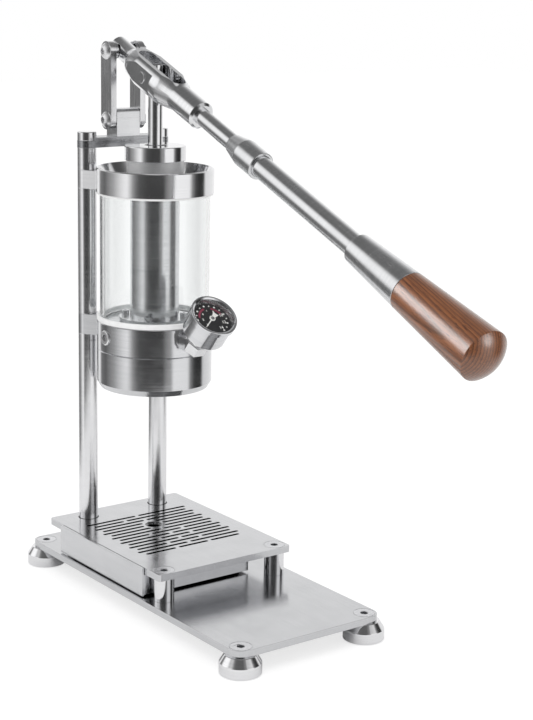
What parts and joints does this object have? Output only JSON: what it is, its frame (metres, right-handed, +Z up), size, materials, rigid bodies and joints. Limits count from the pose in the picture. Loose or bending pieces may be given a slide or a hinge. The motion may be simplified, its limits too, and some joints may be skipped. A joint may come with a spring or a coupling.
{
  "type": "lever espresso machine",
  "caption": "Free-standing hand lever coffee press: glass water chamber round a piston cylinder on two columns, grille and drip tray on a flat base.",
  "frame": {"origin": "on the floor, in the middle of the overall footprint with the lever at rest", "axes": "+Z up, the lever's handle and the front of the base point to -Y, the machine's left is -X as it is seen from the front"},
  "size_m": [0.1654, 0.5386, 0.4941],
  "materials": {
    "brushed_plate": "fine straight brushing, satin",
    "turned_steel": "turned and polished, bright",
    "lever_steel": "satin with fine turning lines",
    "fastener_steel": "plain bright fasteners",
    "sheet_steel": "pressed and pierced sheet, bright",
    "rubber": "matt black",
    "white_seal": "matt translucent white",
    "piston_plastic": "dense cream plastic",
    "tray_plastic": "matt black",
    "bronze": "machined bronze",
    "glass": "clear, faintly grey",
    "gauge_glass": "clear",
    "dial": "black dial with a plain white scale and dark red arcs",
    "needle_white": "white paint",
    "walnut": "dark grained walnut under clear lacquer"
  },
  "bodies": {
    "frame": {"base_plate": "brushed_plate", "feet": "turned_steel", "foot_pads": "rubber", "foot_screws": "fastener_steel", "grille_plate": "brushed_plate", "front_posts": "turned_steel", "post_screws": "fastener_steel", "post_bolts": "fastener_steel", "column_sleeves": "turned_steel", "left_lower_column": "turned_steel", "right_lower_column": "turned_steel", "left_middle_column": "turned_steel", "right_middle_column": "turned_steel", "left_upper_column": "turned_steel", "right_upper_column": "turned_steel", "tie_rods": "fastener_steel", "tie_rod_nuts": "fastener_steel", "column_caps": "turned_steel", "crossbar": "turned_steel", "pedestal": "turned_steel", "pedestal_screws": "fastener_steel", "group_head": "turned_steel", "side_plug": "fastener_steel", "group_gasket": "rubber", "shower_screen": "sheet_steel", "brew_cylinder": "turned_steel", "flange_screws": "fastener_steel", "cylinder_cap": "turned_steel", "rod_bush": "bronze", "rod_wiper": "rubber", "funnel_ring": "turned_steel", "glass_cylinder": "glass", "glass_gaskets": "white_seal", "gauge_elbow": "lever_steel", "elbow_plug": "fastener_steel", "gauge_case": "turned_steel", "gauge_bezel": "turned_steel", "gauge_lens": "gauge_glass", "gauge_dial": "dial"},
    "tray": {"drip_tray": "brushed_plate", "tray_runners": "tray_plastic"},
    "links": {"left_link": "lever_steel", "right_link": "lever_steel", "link_bolts": "fastener_steel", "link_nuts": "fastener_steel", "link_bushes": "fastener_steel"},
    "piston": {"piston": "piston_plastic", "piston_seals": "rubber", "piston_rod": "turned_steel", "lock_nut": "fastener_steel"},
    "lever": {"lever_fork": "lever_steel", "cross_pin": "fastener_steel", "lever_rod": "lever_steel", "lever_collar": "lever_steel", "lever_tube": "lever_steel", "ferrule": "lever_steel", "wooden_handle": "walnut"},
    "basket": {"filter_basket": "sheet_steel"},
    "filter_base": {"filter_base": "turned_steel"},
    "needle": {"gauge_needle": "needle_white"}
  },
  "joints": [
    {"name": "tray_slide", "type": "slide", "parent": "frame", "child": "tray", "axis": [-1, 0, 0], "range_m": [0, 0.09]},
    {"name": "piston_slide", "type": "slide", "parent": "frame", "child": "piston", "axis": [0, 0, 1], "range_m": [0, 0.0446]},
    {"name": "lever_pivot", "type": "hinge", "parent": "piston", "child": "lever", "pos_m": [0, 0.1651, 0.46183], "axis": [-1, 0, 0], "range_deg": [0, 48]},
    {"name": "link_pivot", "type": "hinge", "parent": "frame", "child": "links", "pos_m": [0, 0.21809, 0.4209], "axis": [1, 0, 0], "range_deg": [0, 1.7]},
    {"name": "filter_drop", "type": "slide", "parent": "frame", "child": "basket", "axis": [0, 0, -1], "range_m": [0, 0.0015]},
    {"name": "filter_turn", "type": "hinge", "parent": "basket", "child": "filter_base", "pos_m": [0, 0.1651, 0.2], "axis": [0, 0, 1], "range_deg": [0, 60]},
    {"name": "needle_turn", "type": "hinge", "parent": "frame", "child": "needle", "pos_m": [0, 0.07459, 0.26133], "axis": [0, 0.6494, -0.7604], "range_deg": [0, 270]}
  ],
  "couplings": [
    {"joint": "piston_slide", "follows": "lever_pivot", "m_per_rad": 0.053056},
    {"joint": "link_pivot", "follows": "lever_pivot", "ratio": 0.035},
    {"joint": "filter_drop", "follows": "filter_turn", "m_per_rad": 0.001432}
  ]
}
